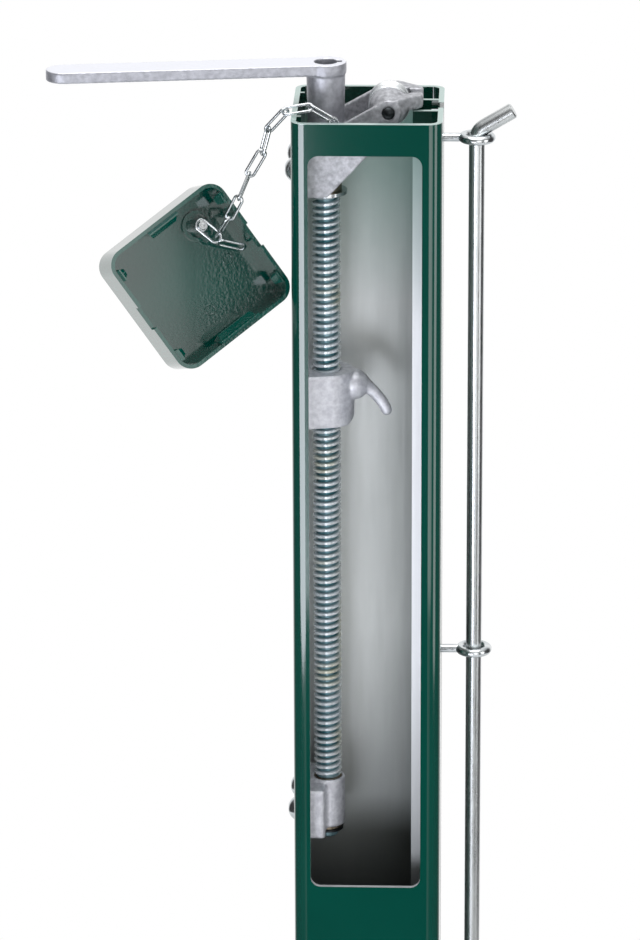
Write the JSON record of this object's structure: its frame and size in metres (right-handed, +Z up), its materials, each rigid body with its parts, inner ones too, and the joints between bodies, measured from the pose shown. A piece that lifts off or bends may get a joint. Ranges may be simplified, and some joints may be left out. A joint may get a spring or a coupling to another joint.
{
  "type": "tennis net post",
  "caption": "Square net post with an internal screw tensioner worked by a lift-off crank, cable pulley at the top, lacing rod in eye bolts and an end cap hanging on a chain",
  "frame": {"origin": "centre of the post's foot, in the plane of its lower end", "axes": "+Z up along the post, +X to the net side with the groove and the lacing rod, -Y to the side with the service window"},
  "size_m": [0.2643, 0.106, 1.445],
  "materials": {
    "green_coat": "satin dark green powder coat on aluminium",
    "casting": "lightly textured aluminium casting",
    "zinc": "bright zinc-plated steel",
    "bronze": "plain sintered bronze bearing",
    "dark_steel": "dark steel",
    "green_plastic": "glossy moulded green plastic"
  },
  "bodies": {
    "post": {"post_profile": "green_coat", "top_bearing_bracket": "casting", "top_bush": "bronze", "bottom_bearing_block": "casting", "bottom_bush": "bronze", "pulley_pin": "dark_steel", "pulley_pin_clip": "zinc", "top_bracket_bolts": "zinc", "bottom_block_bolts": "zinc", "chain_anchor_screw": "zinc", "inner_chain_links": "zinc", "groove_stop_nut": "zinc", "top_thrust_washer": "zinc", "eye_bolt_1": "zinc", "eye_bolt_2": "zinc", "eye_bolt_3": "zinc", "eye_bolt_4": "zinc", "slot_nut_1": "dark_steel", "slot_nut_2": "dark_steel", "slot_nut_3": "dark_steel", "slot_nut_4": "dark_steel"},
    "screw": {"lead_screw": "zinc", "drive_key": "dark_steel", "bottom_retaining_ring": "dark_steel"},
    "crank": {"crank_handle": "casting"},
    "nut": {"hook_nut": "casting"},
    "pulley": {"cable_pulley": "zinc"},
    "chain": {"hanging_chain_links": "zinc"},
    "cap": {"cap_shell": "green_plastic", "cap_sleeve": "zinc", "cap_screw": "zinc", "cap_chain_links": "zinc"},
    "rod": {"lacing_rod": "zinc"}
  },
  "joints": [
    {"name": "screw_spin", "type": "hinge", "parent": "post", "child": "screw", "pos_m": [-0.024, 0, 1.22], "axis": [0, 0, 1], "range_deg": [-8640, 18360]},
    {"name": "nut_travel", "type": "slide", "parent": "post", "child": "nut", "axis": [0, 0, 1], "range_m": [-0.2045, 0.0965]},
    {"name": "crank_lift", "type": "slide", "parent": "screw", "child": "crank", "axis": [0, 0, 1], "range_m": [0, 0.04]},
    {"name": "pulley_spin", "type": "hinge", "parent": "post", "child": "pulley", "pos_m": [0.0118, 0, 1.4209], "axis": [0, 1, 0], "continuous": true},
    {"name": "chain_swing", "type": "hinge", "parent": "post", "child": "chain", "pos_m": [-0.046, -0.023, 1.422], "axis": [0, 1, 0], "range_deg": [0, 30]},
    {"name": "cap_swing", "type": "hinge", "parent": "chain", "child": "cap", "pos_m": [-0.0845, -0.0195, 1.348], "axis": [-1, 0, 0], "range_deg": [0, 28]},
    {"name": "lacing_rod_lift", "type": "slide", "parent": "post", "child": "rod", "axis": [0, 0, 1], "range_m": [0, 0.9]}
  ],
  "couplings": [
    {"joint": "nut_travel", "follows": "screw_spin", "m_per_rad": -0.00063662}
  ]
}
